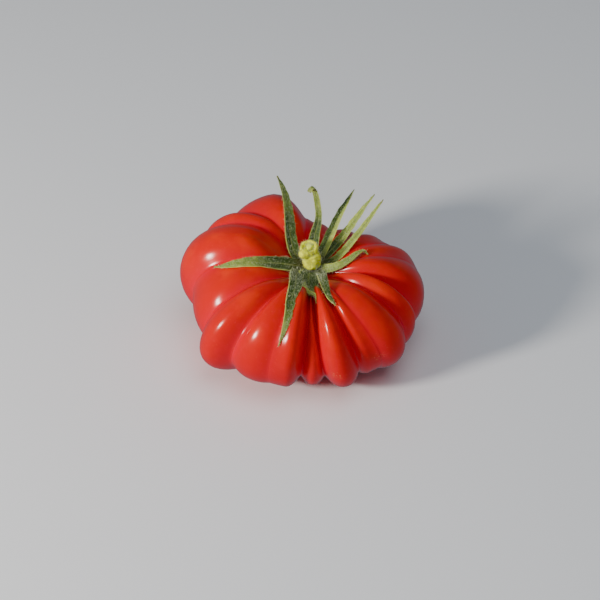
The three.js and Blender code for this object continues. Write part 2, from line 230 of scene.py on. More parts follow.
class TomatoCalyxSettings(bpy.types.PropertyGroup):
    """Sizes and colours of the calyx."""
    rib: length("Midrib Thickness", "Thickness of a sepal along its midrib", 0.8)
    margin: length("Margin Thickness", "Thickness of a sepal at its margins", 0.3)
    wave: length("Margin Wave", "How far a sepal's margins wave", 0.28)
    clearance: length("Clearance", "How far the sepals are kept off the skin", 0.12)
    hair: length("Hair Length", "Length of the longest hairs", 1.1)
    hair_width: length("Hair Thickness", "Thickness of a hair at its root", 0.095)
    hair_count: bpy.props.IntProperty(name="Hairs per cm2", description="Hairs on each square centimetre",
                                      default=320, min=0)
    # The upper face's colour is also painted along the groove of lit sepals as painted shade; the lower
    # face's and the margins' colours are also painted on the upper faces where light falls, as painted light
    inner: tint("Upper Face", "Colour of a sepal's upper face", (0.042, 0.080, 0.012))
    outer: tint("Lower Face", "Colour of a sepal's lower face", (0.260, 0.380, 0.065))
    edge: tint("Margin", "Colour of the margins and veins", (0.720, 0.760, 0.150))
    dry: tint("Dry Tip", "Colour of the dried tips", (0.230, 0.150, 0.050))
    # Painted shade: the dark colour painted round the stalk, over the sepals' roots and the disc
    root: tint("Root", "Colour of the roots, round the stalk", (0.060, 0.054, 0.014))
    fuzz: tint("Hair", "Colour of the hairs", (0.850, 0.880, 0.640))


class TomatoStemSettings(bpy.types.PropertyGroup):
    """Sizes and colours of the stalk's stub."""
    barrel: length("Barrel Radius", "Radius of the stub's barrel", 3.45)
    collar: length("Collar Radius", "Radius of the collar round the break", 3.5)
    lumps: length("Lumps", "Height of the lumps on its surface", 0.26)
    green: tint("Stalk Green", "Colour of the stalk", (0.980, 1.000, 0.040))
    # Painted shade in the stalk's hollows, also used for a darker random mottle
    shade: tint("Hollow Green", "Colour in the stalk's hollows", (0.340, 0.350, 0.006))
    core: tint("Broken Core", "Colour of the broken core", (0.800, 0.900, 0.110))


class TomatoStageSettings(bpy.types.PropertyGroup):
    """Floor, lights and camera."""
    elevation: bpy.props.FloatProperty(
        name="Camera Elevation", description="Camera's height over the horizon", default=math.radians(40),
        subtype="ANGLE", unit="ROTATION")
    distance: length("Camera Distance", "From the calyx's seat to the camera", 700.0)
    sight: bpy.props.FloatVectorProperty(name="Line of Sight", size=2, default=(-4.21, -12.64),
                                         description="How far the line of sight passes to the right of the"
                                         " seat and above it, in millimetres")
    lens: bpy.props.FloatProperty(name="Lens", description="Focal length on a 36 mm wide sensor",
                                  default=109.6, unit="CAMERA")
    key: bpy.props.FloatProperty(name="Key Light", description="Power of the key light", default=9.0)
    fill: bpy.props.FloatProperty(name="Fill Light", description="Power of the overhead fill", default=2.6)
    room: share("Room Light", "Strength of the light from all round", 0.18, high=4.0)


# Node trees

class Field:
    """A socket that can be used in a formula: each operation adds one Math node to its tree."""

    def __init__(self, tree, socket):
        self.tree = tree
        self.socket = socket

    def math(self, operation, *others):
        """Feeds this socket and the others to a Math node."""
        made = node(self.tree, "ShaderNodeMath", dict(enumerate((self,) + others)), operation=operation)
        return Field(self.tree, made.outputs[0])

    def __add__(self, other):
        return self.math("ADD", other)

    def __sub__(self, other):
        return self.math("SUBTRACT", other)

    def __rsub__(self, other):
        return (self * -1.0) + other

    def __mul__(self, other):
        return self.math("MULTIPLY", other)

    def __truediv__(self, other):
        return self.math("DIVIDE", other)

    __radd__ = __add__
    __rmul__ = __mul__

    def mixed(self, other, amount):
        """This value at amount 0 and the other one at amount 1."""
        return self + (other - self) * amount

    def clamped(self, low, high):
        """This value, held between two limits."""
        return self.math("MAXIMUM", low).math("MINIMUM", high)


def connect(tree, value, socket):
    """Links a field or a socket to a socket, or sets the socket's own value."""
    if isinstance(value, Field):
        tree.links.new(value.socket, socket)
    elif isinstance(value, bpy.types.NodeSocket):
        tree.links.new(value, socket)
    else:
        socket.default_value = value


def set_inputs(tree, made, inputs):
    """Links or sets a node's inputs, by name or number."""
    for key, value in inputs.items():
        connect(tree, value, made.inputs[key])


def node(tree, kind, inputs=None, **settings):
    """Adds a node, with its settings and its inputs."""
    made = tree.nodes.new(kind)
    for key, value in settings.items():
        setattr(made, key, value)
    set_inputs(tree, made, inputs or {})
    return made


def vector_math(tree, operation, *vectors, **inputs):
    """What a Vector Math node puts out: a number for a dot product or a distance, else a vector."""
    made = node(tree, "ShaderNodeVectorMath", {**dict(enumerate(vectors)), **inputs}, operation=operation)
    return made.outputs["Value" if operation in ("DOT_PRODUCT", "DISTANCE") else "Vector"]


def vector_of(tree, **numbers):
    """A vector from its X, Y and Z, where one that isn't given is 0."""
    return node(tree, "ShaderNodeCombineXYZ", numbers).outputs[0]


def numbers_of(tree, vector):
    """The three numbers of a vector, as fields."""
    parts = node(tree, "ShaderNodeSeparateXYZ", {"Vector": vector})
    return [Field(tree, output) for output in parts.outputs]


def noise(tree, vector, scale, detail):
    """Soft noise from 0 to 1 over a place."""
    made = node(tree, "ShaderNodeTexNoise", {"Vector": vector, "Scale": scale, "Detail": detail})
    return Field(tree, made.outputs["Fac"])


def new_tree(name, kind, sockets):
    """A node group with named sockets, and its input and output nodes. Sockets are (side, type, name)."""
    tree = bpy.data.node_groups.new(name, kind)
    for side, socket_kind, label in sockets:
        tree.interface.new_socket(name=label, in_out=side, socket_type=socket_kind)
    return tree, tree.nodes.new("NodeGroupInput"), tree.nodes.new("NodeGroupOutput")


def geometry_tree(name, numbers):
    """A Geometry Nodes tree with a geometry in and out, a material and named numbers."""
    sockets = [("INPUT", "NodeSocketGeometry", "Geometry"), ("OUTPUT", "NodeSocketGeometry", "Geometry"),
               ("INPUT", "NodeSocketMaterial", "Material")]
    sockets += [("INPUT", "NodeSocketFloat", label) for label in numbers]
    tree, entry, leave = new_tree(name, "GeometryNodeTree", sockets)
    tree.is_modifier = True
    fields = {label: Field(tree, entry.outputs[label]) for label in numbers}
    return tree, entry, leave, fields


def finish_tree(tree, entry, leave, geometry):
    """Ends a Geometry Nodes tree: shading, real copies in place of instances, and the material."""
    shaded = node(tree, "GeometryNodeSetShadeSmooth", {"Geometry": geometry, "Shade Smooth": True})
    real = node(tree, "GeometryNodeRealizeInstances", {"Geometry": shaded.outputs[0]})
    painted = node(tree, "GeometryNodeSetMaterial",
                   {"Geometry": real.outputs[0], "Material": entry.outputs["Material"]})
    tree.links.new(painted.outputs[0], leave.inputs["Geometry"])


def placed(tree, geometry, **where):
    """Geometry with its points put at a Position or moved by an Offset."""
    return node(tree, "GeometryNodeSetPosition", {"Geometry": geometry, **where}).outputs[0]


def position(tree):
    """Where each point is."""
    return node(tree, "GeometryNodeInputPosition").outputs[0]


def outward(tree):
    """Each point's normal."""
    return node(tree, "GeometryNodeInputNormal").outputs[0]


def named_vector(tree, name):
    """A named vector attribute."""
    return node(tree, "GeometryNodeInputNamedAttribute", {"Name": name},
                data_type="FLOAT_VECTOR").outputs["Attribute"]


def attribute(tree, name):
    """The three numbers of a named vector attribute, as fields."""
    return numbers_of(tree, named_vector(tree, name))


def keep_result(obj):
    """Makes what an object's modifiers give its plain mesh, and removes them."""
    evaluated = obj.evaluated_get(bpy.context.evaluated_depsgraph_get())
    mesh = bpy.data.meshes.new_from_object(evaluated)
    mesh.name = obj.name
    obj.modifiers.clear()
    before = obj.data
    obj.data = mesh
    bpy.data.meshes.remove(before)
    return obj


def grow(obj, tree, values):
    """Runs a Geometry Nodes tree on an object with the given inputs, and keeps the result."""
    modifier = obj.modifiers.new(tree.name, "NODES")
    modifier.node_group = tree
    ids = {item.name: item.identifier for item in tree.interface.items_tree
           if item.item_type == "SOCKET" and item.in_out == "INPUT"}
    for label, value in values.items():
        modifier[ids[label]] = value
    return keep_result(obj)


# Meshes

def add_mesh(name, points, faces):
    """A new object with its place in its mesh. Points are in metres."""
    mesh = bpy.data.meshes.new(name)
    mesh.from_pydata([tuple(point) for point in points], [], [tuple(face) for face in faces])
    mesh.validate()
    mesh.update()
    obj = bpy.data.objects.new(name, mesh)
    bpy.context.scene.collection.objects.link(obj)
    for polygon in mesh.polygons:
        polygon.use_smooth = True
    return obj


def write_attribute(obj, name, values):
    """Stores three numbers on each point of a mesh."""
    made = obj.data.attributes.new(name, "FLOAT_VECTOR", "POINT")
    made.data.foreach_set("vector", np.asarray(values, dtype=np.float32).ravel())


def skin_faces(rings, count):
    """Faces of a closed skin: a first pole, rings of points, and a last pole."""
    faces = []
    last = 1 + rings * count
    for column in range(count):
        beside = (column + 1) % count
        faces.append((0, 1 + column, 1 + beside))
        for ring in range(rings - 1):
            near = 1 + ring * count
            far = near + count
            faces.append((near + column, far + column, far + beside, near + beside))
        end = 1 + (rings - 1) * count
        faces.append((last, end + beside, end + column))
    return faces


def skin_grid(name, columns, rows, folds=()):
    """The fruit's skin before it takes its form: an index of points with what each one has to know.

    Each point carries its place along its meridian, from 0 at the stalk over 1 on the crest, 2 at the widest
    and 3 under the heel to 4 at the blossom scar, and its place across its lobe, from crease to crease.
    """
    alongs = np.concatenate([quarter + np.arange(count) / count for quarter, count in enumerate(rows)])[1:]
    steps = np.arange(columns) / columns
    places = steps - GATHER * np.sin(2 * np.pi * steps) / (2 * np.pi)
    lobes = np.array(LOBES, dtype=float)
    creases = np.array(CREASES, dtype=float)
    after = np.roll(creases, -1, axis=0)
    after[-1, :3] += 360
    chance = np.random.default_rng(SEED).random(len(LOBES))
    rows_of = {key: [] for key in SKIN_NUMBERS}
    for along in alongs:
        for index, own in enumerate(lobes):
            for place in places:
                beside = lobes[index - 1] if place < 0.5 else lobes[(index + 1) % len(lobes)]
                depth = creases[index, 3] if place < 0.5 else after[index, 3]
                low = (own + beside) / 2 + np.array(VALLEY_SINKS) * depth
                even = CREASES[0][0] + (index + place) * 360 / len(LOBES)
                rows_of["grid"].append((along, place, even))
                rows_of["before"].append(creases[index, :3])
                rows_of["after"].append(after[index, :3])
                rows_of["ridge"].append(own[:3])
                rows_of["valley"].append(low[:3])
                rows_of["heels"].append((own[3], low[3], folds_at(folds, index, place, along)))
                rows_of["shape"].append((along, place, chance[index]))
                rows_of["sink"].append((depth / 5, 0, 0))
    count = len(LOBES) * columns
    obj = add_mesh(name, np.zeros((len(alongs) * count + 2, 3)), skin_faces(len(alongs), count))
    for key, values in rows_of.items():
        first, last = np.array(values[0], float), np.array(values[-1], float)
        if key in ("grid", "shape"):
            first[0] = 0
            last[0] = 4
        write_attribute(obj, key, np.vstack([first, np.array(values), last]))
    return obj


def folds_at(folds, index, place, along):
    """Height of the small folds on a lobe's skin, in millimetres."""
    height = 0.0
    for lobe, middle, width, start, end, rise in folds:
        if lobe == index:
            across = (place - middle) / width
            reach = max(0.0, min(1.0, (along - start) / FOLD_EASE, (end - along) / FOLD_EASE))
            height += rise * math.exp(-across * across) * reach * reach * (3 - 2 * reach)
    return height


def circle(x, flat):
    """Height of a flattened half circle over a place x, from 0 in the middle to 1 at its side."""
    return (flat * flat + 1 - x * x).clamped(0, 9).math("SQRT")


def skin_tree():
    """Turns the grid into the lobed fruit, from the numbers that its points carry."""
    tree, entry, leave, number = geometry_tree("ribbed skin", SKIN_LABELS)
    along, place, even = attribute(tree, "grid")
    ridge, valley, heels = (attribute(tree, name) for name in ("ridge", "valley", "heels"))

    flat = number["Roundness"]
    x = place * 2 - 1
    soft = number["Softness"]
    beyond = 1 - x.math("ABSOLUTE")
    near = 1 - (beyond * beyond + soft * soft).math("SQRT")
    deepest = circle(1 - soft, flat)
    arch = (circle(near, flat) - deepest) / (circle(1 - (1 + soft * soft).math("SQRT"), flat) - deepest)
    reach, rise, belt = (low.mixed(top, arch) for low, top in zip(valley, ridge))
    low_point = heels[1].mixed(heels[0], arch)

    # Each meridian's azimuth: between its lobe's creases, and evenly spread at both poles
    u = along * 0.5 - 1
    sides = []
    for name in ("before", "after"):
        top, middle, bottom = attribute(tree, name)
        bow = (top + bottom) * 0.5 - middle
        sides.append(middle + u * (bottom - top) * 0.5 + u * u * bow)
    to_pole = (along.math("MINIMUM", 4 - along) / POLE_EASE).clamped(0, 1)
    spread = to_pole * to_pole * (3 - to_pole * 2)
    azimuth = even.mixed(sides[0].mixed(sides[1], place), spread) * (math.pi / 180)

    # The meridian: a swell from the pole to the crest, then two quarter turns, then a swell to the scar
    crest = reach * number["Crest"]
    heel = reach * number["Heel"]
    first = along.clamped(0, 1)
    second = (along - 1).clamped(0, 1) * (math.pi / 2)
    third = (along - 2).clamped(0, 1) * (math.pi / 2)
    fourth = (4 - along).clamped(0, 1)
    swells = [(1 - (step * math.pi).math("COSINE")) * 0.5 for step in (first, fourth)]
    upper_radius = crest * first + (reach - crest) * second.math("SINE")
    lower_radius = heel * fourth + (reach - heel) * third.math("COSINE")
    upper_height = (number["Seat"].mixed(rise, swells[0])
                    - (rise - belt) * (1 - second.math("COSINE")))
    lower_height = (number["Scar"].mixed(low_point, swells[1])
                    + (belt - low_point) * (1 - third.math("SINE")))
    below = along.math("GREATER_THAN", 2.0)
    radius = upper_radius.mixed(lower_radius, below) * MM
    height = (upper_height.mixed(lower_height, below) - number["Pressed"]).math("MAXIMUM", 0.0) * MM
    formed = placed(tree, entry.outputs["Geometry"], Position=vector_of(
        tree, X=radius * azimuth.math("COSINE"), Y=radius * azimuth.math("SINE"), Z=height))

    # Slow dents and swellings, and the small folds, off the parts that rest on the table. They fade out
    # towards the bottom of each crease, where its two sides would otherwise run through each other.
    dents = noise(tree, position(tree), DENT_SCALE, 1.0)
    clear = ((height / MM) * 0.5 - 0.5).clamped(0, 1)
    swelling = (dents - 0.5) * 2 * number["Unevenness"] + heels[2]
    push = vector_math(tree, "SCALE", outward(tree), Scale=swelling * clear * spread * arch * MM)
    finish_tree(tree, entry, leave, placed(tree, formed, Offset=push))
    return tree


def skin_inputs(settings, **others):
    """The skin tree's inputs: those given, and the rest from the panel's settings."""
    return {**{label: getattr(settings, label.lower()) for label in SKIN_LABELS}, **others}


def stalk_axis():
    """Where the stalk's axis stands in the frame, in metres: the solid fruit's box against the formula's."""
    settings = bpy.context.scene.tomato_skin
    plain = skin_grid("plain skin", *PLAIN_GRID)
    grow(plain, skin_tree(), skin_inputs(settings, Unevenness=0.0))
    corners = np.array([point.co for point in plain.data.vertices])
    middle = (corners.min(0) + corners.max(0)) / 2
    drop(plain)
    low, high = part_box("fruit")
    return Vector(((low.x + high.x) / 2 - middle[0], (low.y + high.y) / 2 - middle[1], 0))


def drop(obj):
    """Removes a helper object and its mesh."""
    mesh = obj.data
    bpy.data.objects.remove(obj)
    bpy.data.meshes.remove(mesh)


def between_knots(one, other, start, end, t):
    """The point at knot t on a line that is at one point at its start and at another at its end."""
    return ((end - t) * one + (t - start) * other) / (end - start)


def blade_path(points):
    """Stations evenly spaced along a smooth path through points, and the tangent at each."""
    given = np.array(points, dtype=float)
    padded = np.vstack([2 * given[0] - given[1], given, 2 * given[-1] - given[-2]])
    dense = []
    for before, start, end, after in zip(padded, padded[1:], padded[2:], padded[3:]):
        knots = [0.0]
        for one, other in ((before, start), (start, end), (end, after)):
            knots.append(knots[-1] + math.sqrt(np.linalg.norm(other - one)))
        for t in np.linspace(knots[1], knots[2], 40, endpoint=False):
            rows = [before, start, end, after]
            for level in (1, 2):
                rows = [between_knots(rows[i], rows[i + 1], knots[i], knots[i + level], t)
                        for i in range(4 - level)]
            dense.append(between_knots(*rows, knots[1], knots[2], t))
    dense.append(given[-1])
    dense = np.array(dense)
    lengths = np.concatenate([[0], np.cumsum(np.linalg.norm(np.diff(dense, axis=0), axis=1))])
    at = np.linspace(0, lengths[-1], BLADE_STATIONS + 1)
    stations = np.stack([np.interp(at, lengths, dense[:, axis]) for axis in range(3)], -1)
    tangents = np.gradient(stations, axis=0)
    return stations, tangents / np.linalg.norm(tangents, axis=1, keepdims=True)


def sepal_grid(name, sepal, chance, axis, seat):
    """A sepal before it takes its form: rings of points round its midrib, with the frame of each station."""
    # The sepal's painted light: which half is painted paler as lit, and how far and from which share of its
    # length its upper face is painted paler
    width, taper, tip, fold, wave, paler, face, twist, tone, start, path = sepal
    stations, tangents = blade_path(path)
    turns = np.arange(4 * BLADE_ACROSS) / (4 * BLADE_ACROSS) * 2 * np.pi
    across = np.sign(np.cos(turns)) * np.abs(np.cos(turns)) ** 0.8
    layer = np.sign(np.sin(turns)) * np.sqrt(np.clip(1 - np.abs(across) ** 5, 0, 1))
    carried = Vector(face)
    values = {key: [] for key in SEPAL_NUMBERS}
    for step, (centre, tangent) in enumerate(zip(stations, tangents)):
        place = step / BLADE_STATIONS
        forward = Vector(tangent)
        carried = (carried - carried.dot(forward) * forward).normalized()
        opening = Matrix.Rotation(math.radians(twist * place), 3, forward) @ carried
        side = forward.cross(opening)
        spine = Vector(centre) * MM + axis + Vector((0, 0, seat * MM))
        for column in range(len(turns)):
            values["spine"].append(spine)
            values["side"].append(side)
            values["face"].append(opening)
            values["spot"].append((place, across[column], layer[column]))
            values["form"].append((width, taper, fold))
            values["tone"].append((tone, chance, start))
            values["ends"].append((tip, wave, paler))
    count = len(turns)
    rings = BLADE_STATIONS + 1
    points = np.zeros((rings * count + 2, 3))
    obj = add_mesh(name, points, skin_faces(rings, count))
    for key, rows in values.items():
        first, last = list(rows[0]), list(rows[-1])
        if key == "spot":
            first, last = [0, 0, 0], [1, 0, 0]
        write_attribute(obj, key, [first] + [tuple(row) for row in rows] + [last])
    return obj


def sepal_tree():
    """Turns a sepal's stations into a folded blade with a midrib, thin waved margins and a pointed tip."""
    labels = ("Midrib Thickness", "Margin Thickness", "Margin Wave", "Clearance")
    tree, entry, leave, number = geometry_tree("folded sepal", labels)
    tree.interface.new_socket(name="Skin", in_out="INPUT", socket_type="NodeSocketObject")
    place, across, layer = attribute(tree, "spot")
    width, taper, fold = attribute(tree, "form")
    chance = attribute(tree, "tone")[1]
    tip, wave, _ = attribute(tree, "ends")
    spine, side, face = (named_vector(tree, name) for name in ("spine", "side", "face"))

    narrowing = (1 - place).math("MAXIMUM", 0.0).math("POWER", taper) * (place * 0.9 + 0.8)
    half = width * 0.5 * narrowing.math("MAXIMUM", tip)
    out = across.math("ABSOLUTE")
    inside = 1 - out
    thin = number["Margin Thickness"]
    thick = thin + (number["Midrib Thickness"] - thin) * inside * inside
    slim = 1 - place * place * 0.45
    seed = vector_of(tree, Z=across.math("SIGN") * 9 + chance * 40)
    ripple = noise(tree, vector_math(tree, "ADD", vector_math(tree, "SCALE", spine, Scale=1 / MM), seed),
                   RIPPLE_SCALE, 1.5)
    sway = (ripple - 0.5) * 4 * number["Margin Wave"] * wave
    steep = out * GROOVE_STEEPNESS
    groove = (steep * steep * -1.0).math("EXPONENT")
    rise = half * fold * out + layer * thick * slim * 0.5 + sway * out * out - groove * GROOVE_DEPTH * slim
    beside = vector_math(tree, "SCALE", side, Scale=half * across * (1 + sway * 0.12) * MM)
    above = vector_math(tree, "SCALE", face, Scale=rise * MM)
    formed = placed(tree, entry.outputs["Geometry"], Position=vector_math(
        tree, "ADD", vector_math(tree, "ADD", spine, beside), above))

    # Whatever would sink into the skin is lifted clear of it, the upper face further than the lower
    skin = node(tree, "GeometryNodeObjectInfo", {"Object": entry.outputs["Skin"]}).outputs["Geometry"]
    nearest = node(tree, "GeometryNodeProximity", {0: skin}, target_element="FACES").outputs["Position"]
    upward = node(tree, "GeometryNodeSampleNearestSurface", {0: skin, 1: outward(tree)},
                  data_type="FLOAT_VECTOR").outputs[0]
    signed = vector_math(tree, "DOT_PRODUCT", vector_math(tree, "SUBTRACT", position(tree), nearest), upward)
    needed = (number["Clearance"] + (layer + 1) * 0.5 * thin) * MM
    lift = (needed - Field(tree, signed)).clamped(0.0, MOST_LIFT * MM)
    push = vector_math(tree, "SCALE", upward, Scale=lift)
    finish_tree(tree, entry, leave, placed(tree, formed, Offset=push))
    return tree


def hair_tree():
    """Fine bent hairs standing on a surface."""
    labels = ("Density", "Length", "Thickness")
    tree, entry, leave, number = geometry_tree("fine hairs", labels)
    points = node(tree, "GeometryNodeDistributePointsOnFaces",
                  {"Mesh": entry.outputs["Geometry"], "Density": number["Density"], "Seed": SEED})
    cone = node(tree, "GeometryNodeMeshCone", {"Vertices": 3, "Side Segments": 2, "Radius Top": 0.05,
                                               "Radius Bottom": 1.0, "Depth": 1.0})
    x, y, z = numbers_of(tree, position(tree))
    slender = number["Thickness"] / number["Length"] * 0.5
    hair = placed(tree, cone.outputs["Mesh"], Position=vector_of(
        tree, X=x * slender + z * z * HAIR_BEND, Y=y * slender, Z=z))
    turn = node(tree, "FunctionNodeRandomValue",
                {0: (-HAIR_LEAN, -HAIR_LEAN, 0.0), 1: (HAIR_LEAN, HAIR_LEAN, FULL_TURN), "Seed": SEED + 1},
                data_type="FLOAT_VECTOR")
    upright = node(tree, "FunctionNodeRotateRotation",
                   {"Rotation": points.outputs["Rotation"], "Rotate By": turn.outputs[0]},
                   rotation_space="LOCAL")
    size = node(tree, "FunctionNodeRandomValue", {2: SHORTEST_HAIR, 3: 1.0, "Seed": SEED + 2},
                data_type="FLOAT")
    scale = Field(tree, size.outputs[1]) * number["Length"] * MM
    standing = node(tree, "GeometryNodeInstanceOnPoints",
                    {"Points": points.outputs["Points"], "Instance": hair,
                     "Rotation": upright.outputs[0], "Scale": scale})
    finish_tree(tree, entry, leave, standing.outputs[0])
    return tree


def stub_tree():
    """Lumps on the stalk's stub, with their height kept for the material, which paints shade in the hollows
    between them.
    """
    tree, entry, leave, number = geometry_tree("lumpy stub", ("Lumps",))
    lumps = (noise(tree, position(tree), LUMP_SCALE, 2.0) - 0.5) * 2
    kept = node(tree, "GeometryNodeStoreNamedAttribute",
                {"Geometry": entry.outputs["Geometry"], "Name": "lumps", "Value": lumps},
                data_type="FLOAT", domain="POINT")
    push = vector_math(tree, "SCALE", outward(tree), Scale=lumps * number["Lumps"] * 1.6 * MM)
    finish_tree(tree, entry, leave, placed(tree, kept.outputs[0], Offset=push))
    return tree


# Materials

def shader_group(name, inputs, output):
    """A shader node group with named inputs and one output. Vector and Normal are vectors, not numbers."""
    kinds = dict.fromkeys(("Vector", "Normal"), "NodeSocketVector")
    sockets = [("INPUT", kinds.get(label, "NodeSocketFloat"), label) for label in inputs]
    sockets.append(("OUTPUT", kinds.get(output, "NodeSocketFloat"), output))
    return new_tree(name, "ShaderNodeTree", sockets)


def counted_in(tree, entry, unit):
    """A group's Vector, counted in one of its sizes."""
    return vector_math(tree, "DIVIDE", entry.outputs["Vector"], entry.outputs[unit])


def smooth_rise(tree, value, low, high):
    """A number's smooth rise from 0 at one value to 1 at another."""
    return node(tree, "ShaderNodeMapRange", {"Value": value, "From Min": low, "From Max": high},
                interpolation_type="SMOOTHSTEP").outputs["Result"]


def mottle_group():
    """A soft cloudy mask, from a place, a size and a cover: where it is 1, a second tone shows."""
    tree, entry, leave = shader_group("Mottle", ("Vector", "Size", "Cover"), "Mask")
    clouds = noise(tree, counted_in(tree, entry, "Size"), 1.0, 3.0)
    low = 0.72 - Field(tree, entry.outputs["Cover"]) * 0.5
    tree.links.new(smooth_rise(tree, clouds, low, low + 0.22), leave.inputs["Mask"])
    return tree


def flecks_group():
    """A mask of small round flecks, from a place, a spacing and a radius, about one in each cell."""
    tree, entry, leave = shader_group("Flecks", ("Vector", "Spacing", "Radius"), "Mask")
    cells = node(tree, "ShaderNodeTexVoronoi", {"Vector": counted_in(tree, entry, "Spacing"), "Scale": 1.0})
    size = Field(tree, entry.outputs["Radius"]) / Field(tree, entry.outputs["Spacing"])
    tree.links.new(smooth_rise(tree, cells.outputs["Distance"], size, size * 0.4), leave.inputs["Mask"])
    return tree


def grain_group():
    """A fine uneven surface's normal, from a place and the size and height of its lumps in millimetres."""
    tree, entry, leave = shader_group("Grain", ("Vector", "Size", "Height"), "Normal")
    lumps = noise(tree, counted_in(tree, entry, "Size"), 1.0, 2.0)
    bump = node(tree, "ShaderNodeBump", {"Height": lumps, "Strength": 1.0,
                                         "Distance": Field(tree, entry.outputs["Height"]) * MM})
    tree.links.new(bump.outputs["Normal"], leave.inputs["Normal"])
    return tree


def band_group():
    """A mask that is 1 between two values of a number and fades out over a soft edge."""
    labels = ("Value", "From", "To", "Softness")
    tree, entry, leave = shader_group("Band", labels, "Mask")
    value, low, high, soft = (Field(tree, entry.outputs[label]) for label in labels)
    rising = ((value - low) / soft + 0.5).clamped(0, 1)
    falling = ((high - value) / soft + 0.5).clamped(0, 1)
    tree.links.new((rising * falling).socket, leave.inputs["Mask"])
    return tree


def effect(tree, maker, *values):
    """Adds a shared effect, fed in the order of its inputs, and returns its output as a field."""
    made = tree.nodes.new("ShaderNodeGroup")
    title = maker.__name__.replace("_group", "").capitalize()
    made.node_tree = bpy.data.node_groups.get(title) or maker()
    set_inputs(tree, made, dict(enumerate(values)))
    return Field(tree, made.outputs[0])


def new_material(name):
    """A material's tree, its Principled node, and its place in millimetres."""
    material = bpy.data.materials.new(name)
    material.use_nodes = True
    tree = material.node_tree
    surface = tree.nodes["Principled BSDF"]
    place = node(tree, "ShaderNodeTexCoord")
    return material, tree, surface, vector_math(tree, "SCALE", place.outputs["Object"], Scale=1 / MM)


def painted(tree, base, layers):
    """A base colour under layers of (colour, mask), as a colour socket."""
    below = (*base, 1.0)
    for colour, mask in layers:
        mix = node(tree, "ShaderNodeMix", {"Factor": mask}, data_type="RGBA")
        connect(tree, below, mix.inputs[6])
        connect(tree, (*colour, 1.0), mix.inputs[7])
        below = mix.outputs[2]
    return below


def shader_numbers(tree, name):
    """The three numbers of a mesh attribute, as fields of a material."""
    return numbers_of(tree, node(tree, "ShaderNodeAttribute", attribute_name=name).outputs["Vector"])


def near_spot(tree, where, spot, radius):
    """A soft mask round a spot, 0 from its radius on."""
    away = Field(tree, vector_math(tree, "DISTANCE", where, spot))
    return ((1 - away / radius) * 2).clamped(0, 1)


def skin_material(settings):
    """Thin glossy skin over red flesh: warmer crests, partly random tone and partly painted light, creases
    painted a brighter crimson as painted light, fine flecks and a corky scar.
    """
    material, tree, surface, where = new_material("tomato skin")
    along, place, chance = shader_numbers(tree, "shape")
    sink = shader_numbers(tree, "sink")[0]
    out = (place * 2 - 1).math("ABSOLUTE")
    grooved = effect(tree, band_group, along, 0.35, 3.7, 0.5)
    # Painted crease light: the creases are painted a brighter crimson, the deeper ones more
    crease = out.math("POWER", 4.0) * (sink * 0.7 + 0.25) * grooved
    crest = effect(tree, band_group, along, 0.40, 1.70, 0.9)
    clouds = effect(tree, mottle_group, where, 13.0, 0.55)
    fine = effect(tree, mottle_group, where, 2.2, 0.5)
    flecks = effect(tree, flecks_group, where, 2.1, 0.34)
    scar = effect(tree, band_group, along, 3.86, 5.0, 0.12)
    scuffed = effect(tree, mottle_group, where, 0.8, 0.45) * sum(
        near_spot(tree, where, spot, radius) for *spot, radius in SCUFFS)
    # Partly random warmer tone and partly painted light: warmer on the upper crests and the middles of the
    # lobes
    warm = crest * (1 - out * out * 0.8) * (chance * 0.5 + 0.5) * (clouds * 0.6 + 0.4)
    colour = painted(tree, settings.ripe, [
        (settings.warm, warm), (settings.deep, crease * 0.75), (settings.deep, fine * 0.10),
        (settings.fleck, flecks * 0.06), (settings.fleck, scuffed * 0.32), (settings.cork, scar)])
    set_inputs(tree, surface, {
        "Base Color": colour, "Roughness": scar * 0.45 + fine * 0.05 + 0.30,
        "Coat Weight": 0.8 - scar * 0.8, "Coat Roughness": 0.18, "Coat IOR": 1.4,
        "Specular IOR Level": 0.2, "Specular Tint": (1.0, 0.22, 0.12, 1.0),
        "Subsurface Weight": 0.5, "Subsurface Radius": (1.0, 0.18, 0.08), "Subsurface Scale": 4.0 * MM,
        "Normal": effect(tree, grain_group, where, 0.9, 0.018)})
    return material


